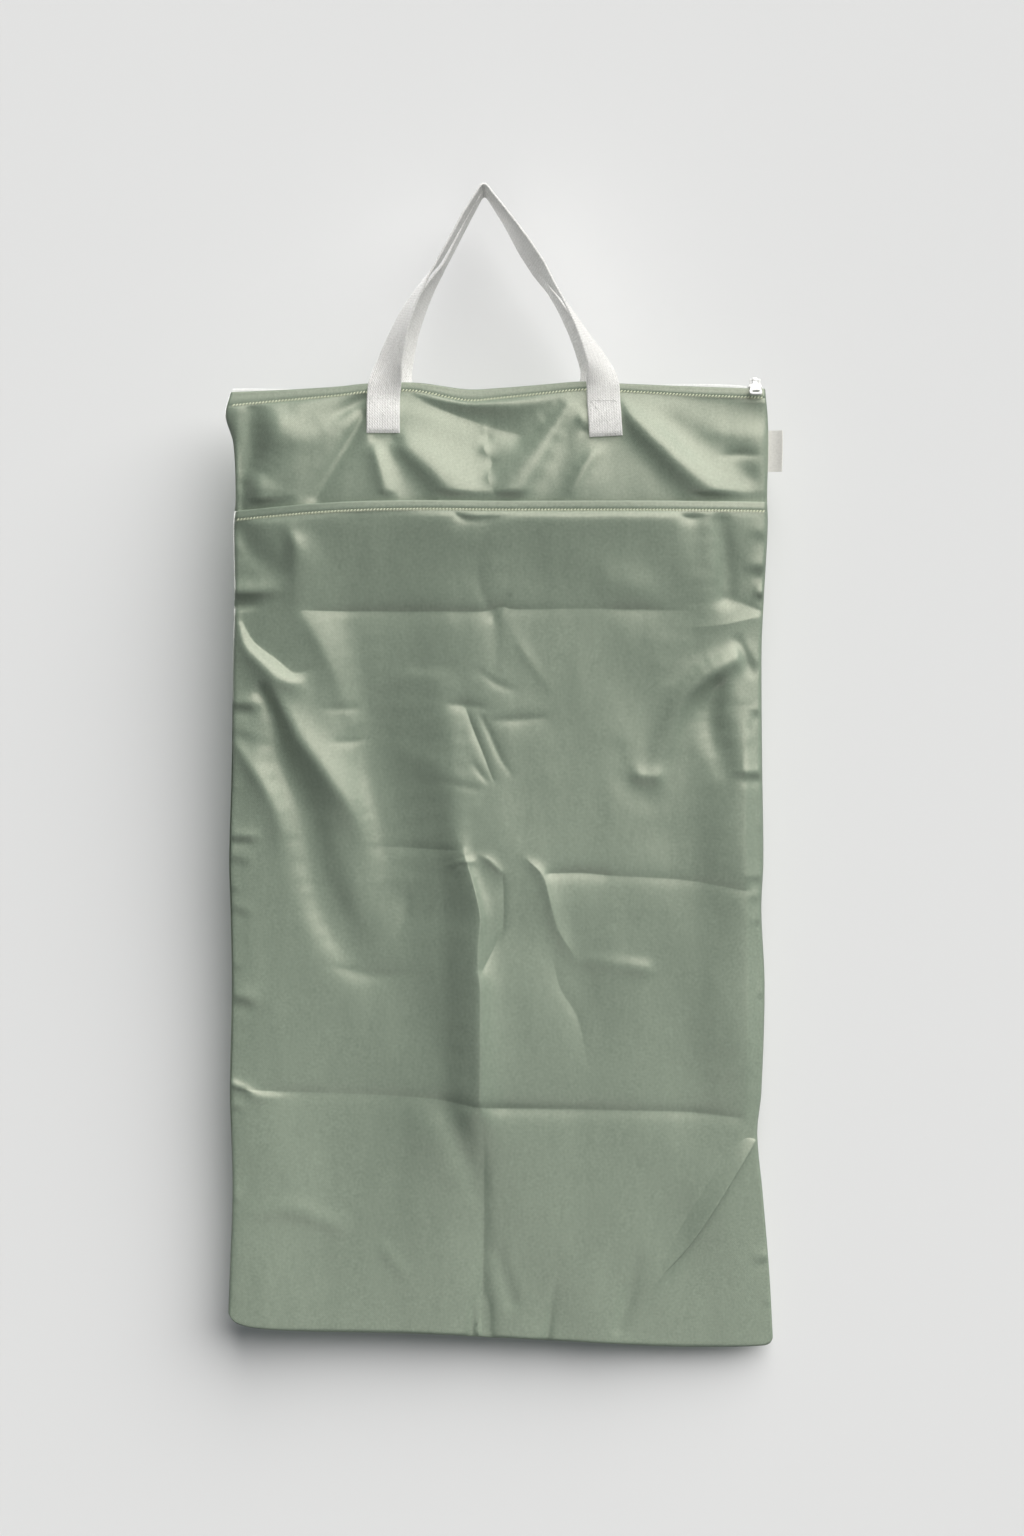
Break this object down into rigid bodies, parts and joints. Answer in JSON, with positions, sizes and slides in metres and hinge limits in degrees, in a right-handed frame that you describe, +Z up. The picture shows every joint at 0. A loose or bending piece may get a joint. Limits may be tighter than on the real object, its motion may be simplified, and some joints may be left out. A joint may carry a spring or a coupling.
{
  "type": "hanging wet bag",
  "caption": "Flat zip-top wet bag of coated cloth with an open outer pocket, hanging from webbing handles.",
  "frame": {"origin": "the point where the undersides of both handles hang, in the zip's middle plane", "axes": "+Z up, the bag's front and pocket face -Y, +X towards the zip slider and the label"},
  "size_m": [0.4196, 0.0516, 0.8731],
  "materials": {
    "sage_cloth": "sage green coated polyester, fine knit with a satin sheen",
    "white_tape": "white woven zip tape",
    "white_nylon": "white nylon coil",
    "white_enamel": "white enamelled zinc",
    "white_webbing": "white ribbed polypropylene webbing",
    "label_ribbon": "off-white satin ribbon"
  },
  "bodies": {
    "bag": {"front_panel": "sage_cloth", "back_panel": "sage_cloth", "pocket_panel": "sage_cloth", "zip_tape_front": "white_tape", "zip_tape_back": "white_tape", "zip_coil": "white_nylon", "zip_slider": "white_enamel", "handle_front": "white_webbing", "handle_back": "white_webbing", "side_label": "label_ribbon"},
    "pull": {"zip_pull": "white_enamel"}
  },
  "joints": [
    {"name": "pull_swing", "type": "hinge", "parent": "bag", "child": "pull", "pos_m": [0.204, 0, -0.14257], "axis": [-1, 0, 0], "range_deg": [0, 268]}
  ]
}
